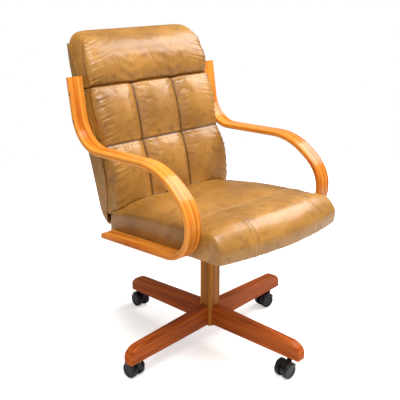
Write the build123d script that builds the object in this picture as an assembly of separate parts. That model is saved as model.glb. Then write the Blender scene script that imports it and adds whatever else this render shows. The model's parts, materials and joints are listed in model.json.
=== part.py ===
from build123d import *
from math import cos, radians, sin, sqrt, tan, tau
import os

# Swivel armchair: bent-wood arms and a tufted back on a tilting seat, over a four-leg caster base.
# Millimetres. +Z is up, the sitter faces -Y and the sitter's left hand is at +X.
# The origin is on the floor, on the axis of the post.

# Fits
slip = 0.05  # radial gap of a running fit
snug = 0.02  # radial gap of a pressed, screwed or welded fit
ease = 0.3  # gap beside padding, and between faces that pass each other

# Post and legs
base_turn = 5.0  # the base stands turned under the seat, degrees
post_side = 53.0
post_chamfer = 9.0
post_bottom = 57.0
post_drop = 79.0  # top of the post below the seat's underside
post_foot_round = 2.0
post_bore_d = 32.0
post_cavity_d = 38.0  # hollow foot, where the nuts are reached
post_cavity_top = 150.0
leg_angles = {"left": 0.0, "rear": 90.0, "right": 180.0, "front": 270.0}
leg_reach = 371.0
leg_width = 34.0
leg_bottom = 61.0
leg_root_height = 67.0
leg_tip_height = 53.0
leg_nose_round = 44.0
leg_heel_round = 10.0
leg_edge_round = 5.0
leg_tip_corner = 12.0
leg_tip_margin = 1.0  # the tip's rounding in plan starts this far outside the leg's sides
leg_bolt_d = 8.0
leg_bolt_grip = 48.0  # length inside the leg
leg_bolt_heights = (80.0, 110.0)
leg_nut_across = 13.0
leg_nut_height = 6.5
leg_washer_d = 14.0
leg_washer_thickness = 1.5

# Spindle and its bushes
spindle_d = 25.4
spindle_bottom = 136.0
spindle_drop = 32.0  # top end below the seat's underside
bush_flange_d = 46.0
bush_flange = 3.0
bush_length = 40.0
lower_bush_flange_d = 37.0
clip_d = 34.0
clip_thickness = 2.0
clip_groove = 1.5
thrust_washer_d = 50.0
thrust_washer = 3.0

# Casters
stem_inset = 46.0  # from the leg's tip
stem_d = 11.0
stem_top = 96.0
stem_seat = 30.0  # height of the stem's lower end
stem_collar_d = 17.0
stem_collar = 3.2
socket_d = 13.0
socket_depth = 38.0
socket_flange_d = 20.0
socket_flange = 1.5
wheel_d = 50.0
wheel_width = 17.0
wheel_shoulder = 5.0
wheel_face_d = 30.0
wheel_face_depth = 1.0
wheel_gap = 0.6
axle_d = 6.0
axle_inset = 4.0  # plastic of the wheel left beyond the axle's end
hood_web = 14.0
hood_web_d = 38.0
hood_gap = 1.2
hood_wall = 2.4
hood_width = 44.0
hood_start = 48.0  # span of the hood round the axle, degrees
hood_end = 158.0
neck_d = 16.0
caster_trail = 21.0
trail_angles = {"left": 174.0, "rear": 84.0, "right": 96.0, "front": 180.0}

# Seat plane and tilt
seat_height = 404.0  # underside of the seat over the post's axis
seat_rake = 5.2  # front edge up, degrees
tilt_range = 12.0
pivot_y = -32.0  # pivot, measured along the seat's underside
pivot_drop = 30.0
pivot_d = 12.0
pivot_head_d = 18.0
pivot_head = 3.0
sheet = 3.0
bumper = 3.0
bumper_width = 50.0
bumper_depth = 10.0
housing_width = 72.0
housing_front = -106.0
housing_rear_run = 105.0
housing_depth = 60.0
housing_nose_depth = 28.0
housing_knee = -45.0
hub_d = 40.0
tilt_plate_width = 160.0
tilt_plate_front = -97.0
tilt_plate_rear = 80.0
tilt_plate_corner = 12.0
ear_round = 14.0
ear_root = 60.0
plate_bolt_x = 65.0
plate_bolt_inset = 14.0
plate_bolt_d = 8.0
plate_bolt_head_d = 13.0
plate_bolt_head = 5.3
tee_nut_d = 20.0
tee_nut_flange = 1.5
tee_nut_barrel_d = 11.0
tee_nut_wall_gap = 1.0

# Tension spring
tension_y = -85.0
tension_bolt_d = 10.0
tension_slot_width = 12.0
tension_slot_length = 17.0
spring_d = 27.0  # across the middle of the wire
spring_wire = 5.0
spring_length = 36.0
spring_turns = 4.0
cup_d = 38.0
cup_wall = 2.5
cup_lip = 5.0
knob_d = 42.0
knob_height = 20.0
knob_lobes = 8
knob_scallop_d = 9.0
knob_chamfer = 3.0

# Seat
seat_half_width = 249.4
seat_rear = 200.0
seat_rear_lean = 12.0
seat_front = 338.0
seat_front_bow = 34.0  # corners stand back from the middle of the front edge
seat_front_tuck = 6.0
seat_nose_swell = 0.25  # swell of the front's turn, as a share of its depth
seat_toe_swell = 2.0
seat_nose_height = 48.0
seat_crown_start = 235.0
seat_thickness = 100.0
seat_side_drop = 18.0
seat_rear_drop = 8.0
seat_crown = 9.0
seat_shoulder = 46.0
seat_shoulder_drop = 3.0
board_thickness = 12.0
board_inset = 25.0
board_front_inset = 40.0
board_corner = 40.0
strap_y = 116.0
strap_width = 32.0
strap_end = 12.5  # past the arm's screw
strap_screw_d = 6.0
strap_screw_head_d = 12.0
strap_screw_head = 3.5
strap_screw_grip = 9.0
strap_board_x = 150.0

# Arms
arm_width = 51.0
arm_gap = 0.6  # between an arm's inner edge and the upholstery
arm_thickness = 17.0
arm_edge_round = 5.0
arm_groove = 3.0
arm_rise = 269.5  # top of the armrest above the seat's underside, over the post's axis
arm_rest_slope = 2.55  # rises to the front, degrees
arm_front = 231.0
arm_slant = 38.5  # fall of the shoulder, degrees
arm_shoulder_share = 0.631  # height where the shoulder's line meets the front, as a share of the rise
arm_end = 172.0
arm_lean = 9.0
arm_foot_y = 278.0  # upright's line at the armrest
arm_top_rise = 463.0
arm_bends = (0.408, 0.783, 0.399, 0.354)  # upright, shoulder, front and heel, as shares of the rise
arm_screw_rises = (329.0, 411.0)
arm_screw_d = 5.5
arm_screw_head_d = 11.0
arm_screw_head = 4.5
arm_screw_recess_d = 12.5
arm_screw_recess = 8.0
arm_screw_length = 94.0

# Back, drawn upright on its own rear face and then leaned
back_y = 269.0
back_rise = 116.0
back_lean = 16.9
cover = 2.0
cover_corner = 10.0
back_low = -63.0  # straight stretch of the rear face
back_high = 354.0
back_top = 452.0
back_top_bend = 420.0
back_foot_bend = 80.0
back_foot_turn = 47.5
band_top_depth = 26.0
band_mid_depth = 57.0
band_low_depth = 70.0
band_low_height = 30.0
band_foot_depth = 39.0
band_foot_height = -74.0
band_foot_swell = 4.0
panel_thickness = 12.0
panel_side_inset = 17.4
panel_top = 354.0
rail_width = 54.0
rail_side_inset = 5.4
rail_front = 62.0
rail_chamfer_x = 18.0
rail_chamfer_y = 22.0
rail_low = -20.0
rail_high = 330.0
pad_seam_x = 83.0
pad_low = -47.0
pad_row = 119.0
pad_high = 303.0
# Depth of the pads' outline at the seat, row seam and head seam, then the swell of each row
pad_crown = (88.0, 101.0, 98.0, 21.0, 14.0)
pad_groove = (60.0, 73.0, 77.0, 8.0, 6.0)
pad_side = (51.0, 60.0, 54.0, 13.0, 2.0)
pad_steps = (0.0, 0.1, 0.25, 0.5)  # stations from a seam to the middle of a pad
pad_groove_rise = 4  # how steeply a pad swells from a groove, as a power
pad_side_rise = 9
head_top = 488.0
head_top_depth = 34.0
head_front_height = 395.0
head_front_depth = 98.0
head_seam_depth = 84.0
head_swell = 17.0
head_shoulder = 50.0  # length of the pillow's rounded ends
head_rise = 5
head_end_depth = 40.0
head_end_swell = 1.5
head_end_rise = 10.0
head_rear_gap = 1.5

# Places worked out from the sizes
stem_reach = leg_reach - stem_inset
spindle_top = seat_height - spindle_drop
post_top = seat_height - post_drop
arm_height = seat_height + arm_rise
arm_centre = seat_half_width + arm_gap + arm_width / 2
strap_half_length = arm_centre + strap_end
back_half_width = seat_half_width
panel_half_width = back_half_width - panel_side_inset
rail_outer = back_half_width - rail_side_inset
rail_inner = rail_outer - rail_width
seat_place = Location((0, 0, seat_height), (-seat_rake, 0, 0))
back_place = Location((0, back_y, seat_height + back_rise), (-back_lean, 0, 0))
panel_front = cover + ease + panel_thickness
plate_bolt_spots = [
    (x, y)
    for x in (-plate_bolt_x, plate_bolt_x)
    for y in (tilt_plate_front + plate_bolt_inset, tilt_plate_rear - plate_bolt_inset)
]
strap_spots = [
    (x, y)
    for x in (-arm_centre, -strap_board_x, strap_board_x, arm_centre)
    for y in (-strap_y, strap_y)
]


def rod(diameter, length):
    """Round bar standing on the XY plane."""
    return extrude(Circle(diameter / 2), length)


def along_x(shape):
    """Lay an upright piece down along +X."""
    return Rot(0, 90, 0) * shape


def bulge(start, end, swell):
    """Arc between two points whose middle stands off to the left of the way there."""
    (x0, y0), (x1, y1) = start, end
    reach = sqrt((x1 - x0) ** 2 + (y1 - y0) ** 2)
    middle = ((x0 + x1) / 2 - swell * (y1 - y0) / reach, (y0 + y1) / 2 + swell * (x1 - x0) / reach)
    return ThreePointArc(start, middle, end)


def side_extrude(face, half_width):
    """Thicken a side view, drawn in Y and Z, to both sides of the middle."""
    return extrude(Plane.YZ * face, half_width, both=True)


def pedestal_post():
    post = extrude(Rectangle(post_side, post_side), post_top - post_bottom)
    post = chamfer(post.edges().filter_by(Axis.Z), post_chamfer)
    post = chamfer(post.faces().sort_by(Axis.Z)[0].edges(), post_foot_round)
    post = Pos(0, 0, post_bottom) * post
    post -= Pos(0, 0, post_bottom) * rod(post_cavity_d, post_cavity_top - post_bottom)
    post -= Pos(0, 0, post_bottom) * rod(post_bore_d, post_top - post_bottom)
    for angle in leg_angles.values():
        for height in leg_bolt_heights:
            hole = along_x(rod(leg_bolt_d + 2 * snug, post_side))
            post -= Rot(0, 0, angle) * Pos(0, 0, height) * hole
    return Rot(0, 0, base_turn) * post


def leg(angle):
    root = post_side / 2
    outline = make_face(
        Polyline(
            (root, leg_bottom),
            (leg_reach, leg_bottom),
            (leg_reach, leg_bottom + leg_tip_height),
            (root, leg_bottom + leg_root_height),
            close=True,
        )
    )
    outline = fillet(outline.vertices().group_by(Axis.X)[-1].sort_by(Axis.Y)[0], leg_heel_round)
    outline = fillet(outline.vertices().group_by(Axis.X)[-1].sort_by(Axis.Y)[-1], leg_nose_round)
    blank = extrude(Plane.XZ * outline, leg_width / 2, both=True)
    side_edges = blank.edges().filter_by(lambda edge: abs(edge.center().Y) > leg_width / 4)
    blank = fillet(side_edges.filter_by(lambda edge: edge.center().X > root + leg_edge_round), leg_edge_round)
    plan = Pos((root + leg_reach) / 2, 0) * Rectangle(leg_reach - root, leg_width + 2 * leg_tip_margin)
    plan = fillet(plan.vertices().group_by(Axis.X)[-1], leg_tip_corner + leg_tip_margin)
    blank &= extrude(plan, leg_bottom + leg_root_height)
    for height in leg_bolt_heights:
        hole = along_x(rod(leg_bolt_d + 2 * snug, leg_bolt_grip + snug))
        blank -= Pos(root, 0, height) * hole
    blank -= Pos(stem_reach, 0, leg_bottom) * rod(socket_d + 2 * snug, socket_depth + ease)
    return Rot(0, 0, base_turn + angle) * blank


def leg_bolt():
    """Stud, washer and nut as one piece, along +X from inside the post into a leg."""
    wall = sqrt((post_cavity_d / 2) ** 2 - (leg_washer_d / 2) ** 2)
    washer_start = wall - leg_washer_thickness - snug
    nut_start = washer_start - leg_nut_height
    bolt = Pos(0, 0, nut_start) * rod(leg_bolt_d, post_side / 2 + leg_bolt_grip - nut_start)
    bolt += Pos(0, 0, washer_start) * rod(leg_washer_d, leg_washer_thickness)
    nut = RegularPolygon(leg_nut_across / 2, 6, major_radius=False)
    bolt += Pos(0, 0, nut_start) * extrude(nut, leg_nut_height)
    return along_x(bolt)


def leg_bolts():
    spots = [(angle, height) for angle in leg_angles.values() for height in leg_bolt_heights]
    return Compound([Rot(0, 0, base_turn + a) * Pos(0, 0, h) * leg_bolt() for a, h in spots])


def bush(flange_d):
    """Flanged sleeve for the spindle, flange down, standing on the XY plane."""
    sleeve = rod(flange_d, bush_flange)
    sleeve += rod(post_bore_d - 2 * snug, bush_flange + bush_length)
    return sleeve - rod(spindle_d + 2 * slip, bush_flange + bush_length)


def upper_bush():
    return Pos(0, 0, post_top + bush_flange) * Rot(180, 0, 0) * bush(bush_flange_d)


def lower_bush():
    return Pos(0, 0, post_cavity_top - bush_flange) * bush(lower_bush_flange_d)


def clip_height():
    return post_cavity_top - bush_flange - ease - clip_thickness


def swivel_spindle():
    bar = Pos(0, 0, spindle_bottom) * rod(spindle_d, spindle_top - spindle_bottom)
    groove = rod(2 * spindle_d, clip_thickness + 2 * snug)
    groove -= rod(spindle_d - 2 * clip_groove, clip_thickness + 2 * snug)
    return bar - Pos(0, 0, clip_height() - snug) * groove


def spindle_clip():
    ring = Circle(clip_d / 2) - Circle(spindle_d / 2 - clip_groove + snug)
    ring -= Pos(clip_d / 2, 0) * Rectangle(clip_d, spindle_d / 2)
    return Pos(0, 0, clip_height()) * extrude(ring, clip_thickness)


def thrust_washer_ring():
    ring = Circle(thrust_washer_d / 2) - Circle(spindle_d / 2 + snug)
    return Pos(0, 0, post_top + bush_flange + slip) * extrude(ring, thrust_washer)


def caster_spot(angle):
    return Pos((Rot(0, 0, base_turn + angle) * Pos(stem_reach, 0, 0)).position)


def caster_sockets():
    socket = rod(socket_d, socket_depth)
    socket += Pos(0, 0, -socket_flange) * rod(socket_flange_d, socket_flange)
    socket -= Pos(0, 0, -socket_flange) * rod(stem_d + 2 * slip, socket_depth + socket_flange)
    socket = Pos(0, 0, leg_bottom) * socket
    return Compound([caster_spot(angle) * socket for angle in leg_angles.values()])


def collar_top():
    return leg_bottom - socket_flange - ease


def caster_stem():
    stem = Pos(0, 0, stem_seat) * rod(stem_d, stem_top - stem_seat)
    return stem + Pos(0, 0, collar_top() - stem_collar) * rod(stem_collar_d, stem_collar)


def caster_hood():
    """Web between the wheels, a curved hood over them and a neck round the stem."""
    inner = wheel_d / 2 + hood_gap
    outer = inner + hood_wall
    axle = Pos(caster_trail, wheel_d / 2)
    far = 2 * outer
    turns = [radians(hood_start + part * (hood_end - hood_start) / 2) for part in range(3)]
    sector = Polygon((0, 0), *[(far * cos(turn), far * sin(turn)) for turn in turns], align=None)
    arch = axle * ((Circle(outer) - Circle(inner)) & sector)
    neck_top = collar_top() - stem_collar
    waist = wheel_d / 2 + inner * sin(radians(hood_end))
    plate = axle * Circle(hood_web_d / 2)
    plate += Pos(0, (stem_seat + waist) / 2) * Rectangle(hood_web, waist - stem_seat)
    plate += axle * (Circle(inner + hood_wall / 2) & sector)
    body = extrude(Plane.XZ * arch, hood_width / 2, both=True)
    body += extrude(Plane.XZ * plate, hood_web / 2, both=True)
    neck_foot = wheel_d / 2 + sqrt(inner**2 - (caster_trail - neck_d / 2) ** 2)
    body += Pos(0, 0, neck_foot) * rod(neck_d, neck_top - neck_foot)
    body += Pos(0, 0, stem_seat) * rod(hood_web, neck_top - stem_seat)
    body -= Pos(0, 0, stem_seat - snug) * rod(stem_d + 2 * snug, stem_top)
    bore = Rot(-90, 0, 0) * rod(axle_d + 2 * snug, 2 * hood_web)
    return body - Pos(caster_trail, -hood_web, wheel_d / 2) * bore


def wheel_offset():
    return hood_web / 2 + wheel_gap


def caster_axle():
    half = wheel_offset() + wheel_width - axle_inset - ease
    bar = Rot(-90, 0, 0) * rod(axle_d, 2 * half)
    return Pos(caster_trail, -half, wheel_d / 2) * bar


def caster_wheel(side):
    """Disc with a rounded outer shoulder and a shallow recess in its outer face."""
    blank = Pos(wheel_d / 4, wheel_width / 2) * Rectangle(wheel_d / 2, wheel_width)
    blank = fillet(blank.vertices().group_by(Axis.X)[-1].sort_by(Axis.Y)[-1], wheel_shoulder)
    bore_depth = wheel_width - axle_inset
    blank -= Pos(0, bore_depth / 2) * Rectangle(axle_d + 2 * slip, bore_depth)
    blank -= Pos(0, wheel_width) * Rectangle(wheel_face_d, 2 * wheel_face_depth)
    wheel = revolve(blank, Axis.Y)
    if side < 0:
        wheel = Rot(180, 0, 0) * wheel
    return Pos(caster_trail, side * wheel_offset(), wheel_d / 2) * wheel


def roof_points(inset):
    """Ridge and rear end of the housing's roof, whose rear half falls by the tilt range."""
    rise = pivot_drop - sheet - bumper - ease - inset
    ridge = (pivot_y + rise * tan(radians(tilt_range / 2)), rise - pivot_drop)
    run, fall = cos(radians(tilt_range)), sin(radians(tilt_range))
    rear = (ridge[0] + housing_rear_run * run, ridge[1] - housing_rear_run * fall)
    return ridge, rear


def housing_blank():
    ridge, rear = roof_points(0)
    return Polygon(
        (housing_front, ridge[1]),
        ridge,
        rear,
        (rear[0], -housing_depth),
        (housing_knee, -housing_depth),
        (housing_front, -housing_nose_depth),
        align=None,
    )


def housing_inside():
    ridge, rear = roof_points(sheet)
    below = -2 * housing_depth
    front = housing_front - sheet
    back = roof_points(0)[1][0] - sheet
    slope = tan(radians(tilt_range))
    return Polygon(
        (front, ridge[1]),
        ridge,
        (back, ridge[1] - (back - ridge[0]) * slope),
        (back, below),
        (front, below),
        align=None,
    )


def tilt_housing():
    """Inverted channel with a bent roof, welded round the top of the spindle."""
    inside = side_extrude(housing_inside(), housing_width / 2 - sheet)
    shell = side_extrude(housing_blank(), housing_width / 2) - inside
    slot = SlotOverall(tension_slot_length, tension_slot_width, rotation=90)
    slot_y = tension_y + (tension_slot_length - tension_slot_width) / 2
    shell -= Pos(0, slot_y, -housing_depth) * extrude(slot, housing_depth)
    shell -= Pos(-housing_width, pivot_y, -pivot_drop) * along_x(rod(pivot_d + 2 * snug, 2 * housing_width))
    hub_foot = post_top + bush_flange + thrust_washer + 2 * slip
    hub = Pos(0, 0, hub_foot) * rod(hub_d, seat_height - hub_foot)
    housing = seat_place * shell + (hub & seat_place * inside)
    return housing - Pos(0, 0, spindle_bottom) * rod(spindle_d + 2 * snug, spindle_top + snug - spindle_bottom)


def ear_offset():
    return housing_width / 2 + ease


def tilt_pivot_pin():
    half = ear_offset() + sheet + ease
    pin = Pos(0, 0, -half) * rod(pivot_d, 2 * half + pivot_head)
    pin += Pos(0, 0, -half - pivot_head) * rod(pivot_head_d, pivot_head)
    return seat_place * Pos(0, pivot_y, -pivot_drop) * along_x(pin)


def pivot_clip():
    ring = Circle(pivot_head_d / 2) - Circle(pivot_d / 2 + snug)
    clip = extrude(ring, pivot_head / 2)
    return seat_place * Pos(ear_offset() + sheet + ease, pivot_y, -pivot_drop) * along_x(clip)


def tilt_bumpers():
    """Rubber stops on the roof: the front one holds the seat at rest, the rear one ends the tilt."""
    roof = roof_points(0)[0][1]
    block = extrude(RectangleRounded(bumper_width, bumper_depth, bumper), bumper)
    front = Pos(0, housing_front + bumper_depth / 2, roof) * block
    rear_y = pivot_y + housing_rear_run - bumper_depth
    about_pivot = Pos(0, pivot_y, -pivot_drop) * Rot(-tilt_range, 0, 0) * Pos(0, -pivot_y, pivot_drop)
    rear = about_pivot * Pos(0, rear_y, roof) * block
    return seat_place * Compound([front, rear])


def tilt_plate():
    """Top plate under the seat board, with an ear each side of the housing."""
    length = tilt_plate_rear - tilt_plate_front
    middle = (tilt_plate_rear + tilt_plate_front) / 2
    top = Pos(0, middle) * RectangleRounded(tilt_plate_width, length, tilt_plate_corner)
    top -= [Pos(x, y) * Circle(plate_bolt_d / 2 + snug) for x, y in plate_bolt_spots]
    plate = Pos(0, 0, -sheet) * extrude(top, sheet)
    tab = Polygon(
        (pivot_y - ear_root / 2, -sheet / 2),
        (pivot_y - ear_round, -pivot_drop),
        (pivot_y + ear_round, -pivot_drop),
        (pivot_y + ear_root / 2, -sheet / 2),
        align=None,
    )
    tab += Pos(pivot_y, -pivot_drop) * Circle(ear_round)
    tab -= Pos(pivot_y, -pivot_drop) * Circle(pivot_d / 2 + slip)
    ear = extrude(Plane.YZ * tab, sheet)
    plate += [Pos(ear_offset(), 0, 0) * ear, Pos(-ear_offset() - sheet, 0, 0) * ear]
    return seat_place * plate


def plate_bolts():
    shank = sheet + board_thickness - tee_nut_flange
    bolt = rod(plate_bolt_d, shank)
    head = RegularPolygon(plate_bolt_head_d / 2, 6, major_radius=False)
    bolt += Pos(0, 0, -plate_bolt_head) * extrude(head, plate_bolt_head)
    return seat_place * Compound([Pos(x, y, -sheet) * bolt for x, y in plate_bolt_spots])


def tee_nuts():
    """Threaded inserts let into the top of the seat board."""
    depth = board_thickness - tee_nut_wall_gap
    nut = Pos(0, 0, depth - tee_nut_flange) * rod(tee_nut_d, tee_nut_flange)
    nut += rod(tee_nut_barrel_d, depth)
    nut -= rod(plate_bolt_d + 2 * snug, depth)
    return seat_place * Compound([Pos(x, y, tee_nut_wall_gap) * nut for x, y in plate_bolt_spots])


def spring_top():
    return roof_points(sheet)[0][1] - ease


def cup_top():
    return spring_top() - spring_length - ease


def tension_bolt():
    foot = cup_top() - cup_wall - ease - knob_height + knob_chamfer
    return seat_place * Pos(0, tension_y, foot) * rod(tension_bolt_d, -sheet - foot)


def spring_cup():
    cup = rod(cup_d, cup_wall + cup_lip)
    cup -= Pos(0, 0, cup_wall) * rod(cup_d - 2 * cup_wall, cup_lip)
    cup -= rod(tension_bolt_d + 2 * snug, cup_wall)
    return seat_place * Pos(0, tension_y, cup_top() - cup_wall) * cup


def helix_path(radius, rise, turns):
    """Helix as tangent pairs of arcs, one pair for each quarter turn."""
    slope = rise / (tau * turns)
    norm = sqrt(radius**2 + slope**2)

    def on_helix(angle):
        point = Vector(radius * cos(angle), radius * sin(angle), slope * angle)
        tangent = Vector(-radius * sin(angle) / norm, radius * cos(angle) / norm, slope / norm)
        return point, tangent

    arcs = []
    for quarter in range(round(4 * turns)):
        start, start_way = on_helix(quarter * tau / 4)
        end, end_way = on_helix((quarter + 1) * tau / 4)
        chord, ways = end - start, start_way + end_way
        a, b, c = 4 - ways.dot(ways), 2 * chord.dot(ways), -chord.dot(chord)
        reach = (sqrt(b * b - 4 * a * c) - b) / (2 * a)
        first, second = start + start_way * reach, end - end_way * reach
        joint = (first + second) * 0.5
        arcs.append(TangentArc(start, joint, tangent=start_way))
        arcs.append(TangentArc(joint, end, tangent=second - first))
    return Wire([edge for arc in arcs for edge in arc.edges()])


def tension_spring():
    rise = spring_length - spring_wire
    path = helix_path(spring_d / 2, rise, spring_turns)
    print("least gap between the spring's turns", round(rise / spring_turns - spring_wire, 2))
    section = Plane(origin=path @ 0, z_dir=path % 0) * Circle(spring_wire / 2)
    coil = sweep(section, path)
    return seat_place * Pos(0, tension_y, spring_top() - spring_length + spring_wire / 2) * coil


def tension_knob():
    outline = Circle(knob_d / 2)
    outline -= PolarLocations(knob_d / 2 + knob_scallop_d / 4, knob_lobes) * Circle(knob_scallop_d / 2)
    knob = extrude(outline, knob_height)
    knob = chamfer(knob.faces().sort_by(Axis.Z)[0].edges(), knob_chamfer)
    knob -= Pos(0, 0, knob_chamfer) * rod(tension_bolt_d + 2 * slip, knob_height)
    foot = cup_top() - cup_wall - ease - knob_height
    return seat_place * Pos(0, tension_y, foot) * knob


def board_blank(grow):
    """Plan of the seat board with a bowed front."""
    half = seat_half_width - board_inset + grow
    middle = -(seat_front - seat_front_tuck - board_front_inset + grow)
    rear = seat_rear - board_inset + grow
    corner = middle + seat_front_bow
    plan = make_face(
        [
            Line((half, corner), (half, rear)),
            Line((half, rear), (-half, rear)),
            Line((-half, rear), (-half, corner)),
            ThreePointArc((-half, corner), (0, middle), (half, corner)),
        ]
    )
    return fillet(plan.vertices(), board_corner)


def seat_board():
    plan = board_blank(0)
    plan -= [Pos(x, y) * Circle(tee_nut_barrel_d / 2 + snug) for x, y in plate_bolt_spots]
    plan -= [Pos(x, y) * Circle(strap_screw_d / 2 + snug) for x, y in strap_spots]
    board = extrude(plan, board_thickness)
    recess = rod(tee_nut_d + 2 * snug, tee_nut_flange)
    board -= [Pos(x, y, board_thickness - tee_nut_flange) * recess for x, y in plate_bolt_spots]
    return seat_place * board


def seat_strap(side):
    plan = RectangleRounded(2 * strap_half_length, strap_width, strap_screw_head_d / 2)
    plan = Pos(0, side * strap_y) * plan
    plan -= [Pos(x, y) * Circle(strap_screw_d / 2 + snug) for x, y in strap_spots if y * side > 0]
    return seat_place * Pos(0, 0, -sheet) * extrude(plan, sheet)


def strap_screws():
    screw = rod(strap_screw_d, sheet + strap_screw_grip)
    screw += Pos(0, 0, -strap_screw_head) * rod(strap_screw_head_d, strap_screw_head)
    return seat_place * Compound([Pos(x, y, -sheet) * screw for x, y in strap_spots])


def seat_section(x, drop, bow):
    """Side view of the cushion at one station across the seat."""
    rear_low = (seat_rear, ease)
    rear_top = (seat_rear - seat_rear_lean, seat_thickness - seat_rear_drop - drop)
    crown = (-seat_crown_start, seat_thickness - drop)
    nose = (bow - seat_front, seat_nose_height)
    toe = (bow - seat_front + seat_front_tuck, ease)
    way_down = seat_front - bow - seat_crown_start
    outline = [
        Line(toe, rear_low),
        Line(rear_low, rear_top),
        bulge(rear_top, crown, -seat_crown),
        bulge(crown, nose, -seat_nose_swell * way_down),
        bulge(nose, toe, -seat_toe_swell),
    ]
    return Plane.YZ.offset(x) * make_face(outline)


def seat_cushion():
    """Crowned cushion with a waterfall front, drawn down over the edges of its board."""
    shoulder = seat_half_width - seat_shoulder
    side = (seat_side_drop, seat_front_bow)
    inner_bow = seat_front_bow * (shoulder / seat_half_width) ** 2
    inner = (seat_shoulder_drop, inner_bow)
    stations = [
        (-seat_half_width, *side),
        (-shoulder, *inner),
        (0, 0, 0),
        (shoulder, *inner),
        (seat_half_width, *side),
    ]
    cushion = loft([seat_section(*station) for station in stations])
    pocket = Pos(0, 0, -sheet) * extrude(board_blank(ease), board_thickness + sheet + ease)
    return seat_place * (cushion - pocket)


def arm_path():
    """Centre line of the bent strip in Y and Z, from the top of the back to its end beside the seat."""
    half = arm_thickness / 2
    rest = arm_height - half
    rise = tan(radians(arm_rest_slope))
    fall = tan(radians(arm_slant))
    run = tan(radians(seat_rake))
    lean = tan(radians(arm_lean))
    low = seat_height + half / cos(radians(seat_rake))
    front = half - arm_front
    foot_z = rest - rise * arm_foot_y
    top_z = seat_height + arm_top_rise
    shoulder_z = seat_height + arm_shoulder_share * arm_rise
    shoulder_y = (rest - shoulder_z + fall * front) / (fall + rise)
    points = [
        (arm_foot_y + (top_z - foot_z) * lean, top_z),
        (arm_foot_y, foot_z),
        (shoulder_y, rest - rise * shoulder_y),
        (front, shoulder_z),
        (front, low - run * front),
        (arm_end, low - run * arm_end),
    ]
    return FilletPolyline(*points, radius=[share * arm_rise for share in arm_bends])


def arm_screw_spots():
    """Places of the screws on the upright's centre line, in Y and Z."""
    foot_z = arm_height - arm_thickness / 2 - tan(radians(arm_rest_slope)) * arm_foot_y
    heights = [seat_height + rise for rise in arm_screw_rises]
    return [(arm_foot_y + (z - foot_z) * tan(radians(arm_lean)), z) for z in heights]


def arm(side):
    path = Plane.YZ * arm_path()
    section = RectangleRounded(arm_width, arm_thickness, arm_edge_round)
    groove = Circle(arm_groove / 2)
    section -= [Pos(-arm_width / 2, 0) * groove, Pos(arm_width / 2, 0) * groove]
    strip = sweep(Plane(origin=path @ 0, x_dir=(1, 0, 0), z_dir=path % 0) * section, path)
    strip = Pos(side * arm_centre, 0, 0) * strip
    for y, z in arm_screw_spots():
        outer = side * (arm_centre + arm_width / 2)
        hole = along_x(rod(arm_screw_d + 2 * snug, 2 * arm_width))
        recess = along_x(rod(arm_screw_recess_d, 2 * arm_screw_recess))
        strip -= Pos(side * arm_centre - arm_width, y, z) * hole
        strip -= Pos(outer - arm_screw_recess, y, z) * recess
    for y in (-strap_y, strap_y):
        hole = rod(strap_screw_d + 2 * snug, strap_screw_grip + snug)
        strip -= seat_place * Pos(side * arm_centre, y, 0) * hole
    return strip


def arm_screw_row(diameter):
    """Bars in place of the arm screws, out to the arms' outer edges."""
    bar = along_x(rod(diameter, arm_screw_length))
    head = arm_centre + arm_width / 2 - arm_screw_recess
    spots = arm_screw_spots()
    left = [Pos(head - arm_screw_length, y, z) * bar for y, z in spots]
    right = [Pos(-head, y, z) * bar for y, z in spots]
    return left + right


def arm_screws():
    head = arm_centre + arm_width / 2 - arm_screw_recess
    screws = []
    for bar in arm_screw_row(arm_screw_d):
        side = 1 if bar.center().X > 0 else -1
        start = head if side > 0 else -head - arm_screw_head
        cap = along_x(rod(arm_screw_head_d, arm_screw_head))
        screws.append(bar + Pos(start, bar.center().Y, bar.center().Z) * cap)
    return Compound(screws)


def rear_curve(inset):
    """Rear face of the back in side view, from its foot up, moved in by the inset."""
    foot_turn = radians(back_foot_turn)
    foot_bend = back_foot_bend - inset
    foot = (-back_foot_bend + foot_bend * cos(foot_turn), back_low - foot_bend * sin(foot_turn))
    foot_mid = (
        -back_foot_bend + foot_bend * cos(foot_turn / 2),
        back_low - foot_bend * sin(foot_turn / 2),
    )
    top_bend = back_top_bend - inset
    top_turn = (back_top - back_high) / back_top_bend
    top = (-back_top_bend + top_bend * cos(top_turn), back_high + top_bend * sin(top_turn))
    top_mid = (
        -back_top_bend + top_bend * cos(top_turn / 2),
        back_high + top_bend * sin(top_turn / 2),
    )
    return [
        ThreePointArc(foot, foot_mid, (-inset, back_low)),
        Line((-inset, back_low), (-inset, back_high)),
        ThreePointArc((-inset, back_high), top_mid, top),
    ]


def round_rear(blank, radius):
    """Round the long rear corners of the back."""
    uprights = blank.edges().filter_by(Axis.Z)
    return fillet(uprights.group_by(Axis.Y)[-1], radius)


def cover_inside(inset):
    """Space inside the cover, open to the front and top, moved in by the inset."""
    lining = rear_curve(inset)
    foot, top = lining[0] @ 0, lining[-1] @ 1
    far = -2 * band_low_depth
    hollow = lining + [
        Line(top, (top.X, 2 * back_top)),
        Line((top.X, 2 * back_top), (far, 2 * back_top)),
        Line((far, 2 * back_top), (far, foot.Y)),
        Line((far, foot.Y), foot),
    ]
    return round_rear(side_extrude(make_face(hollow), back_half_width - inset), cover_corner - inset)


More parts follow.
